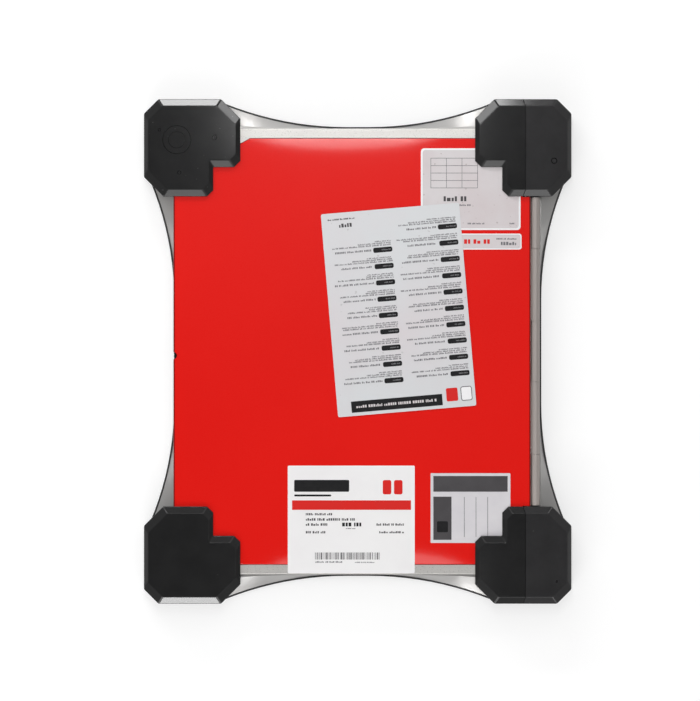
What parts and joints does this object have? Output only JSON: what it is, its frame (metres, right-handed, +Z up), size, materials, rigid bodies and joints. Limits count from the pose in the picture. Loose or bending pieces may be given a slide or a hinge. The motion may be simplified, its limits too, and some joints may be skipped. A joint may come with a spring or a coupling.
{
  "type": "x-ray film cassette",
  "caption": "Flat light-tight cassette for a sheet of x-ray film: flared frame, hinged lid with pressure pad and screen, slide latch and corner bumpers.",
  "frame": {"origin": "centre of the resting footprint, on the table under the middle of the cassette", "axes": "+Y along the long side towards the rear, +X towards the hinge side, +Z up out of the red lid"},
  "size_m": [0.3108, 0.3668, 0.0217],
  "materials": {
    "silver_frame": "satin silver-grey coat",
    "red_panel": "gloss red coat",
    "black_bumper": "satin black, finely textured",
    "black_trim": "matt black",
    "hinge_metal": "anodised satin",
    "steel": "zinc plated",
    "tube_sheet": "matt light grey",
    "screen_white": "matt white coating",
    "black_rubber": "matt",
    "grey_foam": "open-cell foam",
    "lead": "dull grey foil",
    "core_plastic": "moulded",
    "label_white": "laminated label",
    "label_grey": "laminated label",
    "label_picture": "printed sticker"
  },
  "bodies": {
    "base": {"base_bumper_hinge_front": "black_bumper", "base_bumper_hinge_rear": "black_bumper", "base_bumper_latch_front": "black_bumper", "base_bumper_latch_rear": "black_bumper", "base_bumper_screws": "steel", "base_frame": "silver_frame", "base_hinge_leaf": "hinge_metal", "front_screen": "screen_white", "hinge_pin": "steel", "latch_cover": "black_trim", "latch_spring": "steel", "light_seal": "black_rubber", "tube_bezel": "black_trim", "tube_panel": "tube_sheet"},
    "latch": {"latch_bar": "steel", "latch_slide": "black_trim"},
    "lid": {"lid_panel": "red_panel", "lid_frame": "silver_frame", "lid_core": "core_plastic", "lead_foil": "lead", "foam_pad": "grey_foam", "rear_screen": "screen_white", "latch_keepers": "steel", "lid_hinge_leaf": "hinge_metal", "lid_bumper_latch_rear": "black_bumper", "lid_bumper_latch_front": "black_bumper", "lid_bumper_hinge_rear": "black_bumper", "lid_bumper_hinge_front": "black_bumper", "lid_bumper_screws": "steel", "main_label": "label_white", "instruction_card": "label_white", "type_label": "label_grey", "strip_label": "label_grey", "picture_sticker": "label_picture"}
  },
  "joints": [
    {"name": "lid_hinge", "type": "hinge", "parent": "base", "child": "lid", "pos_m": [0.1294, 0, 0.0157], "axis": [0, 1, 0], "range_deg": [0, 100]},
    {"name": "latch_travel", "type": "slide", "parent": "base", "child": "latch", "axis": [0, 1, 0], "range_m": [-0.006, 0]}
  ]
}
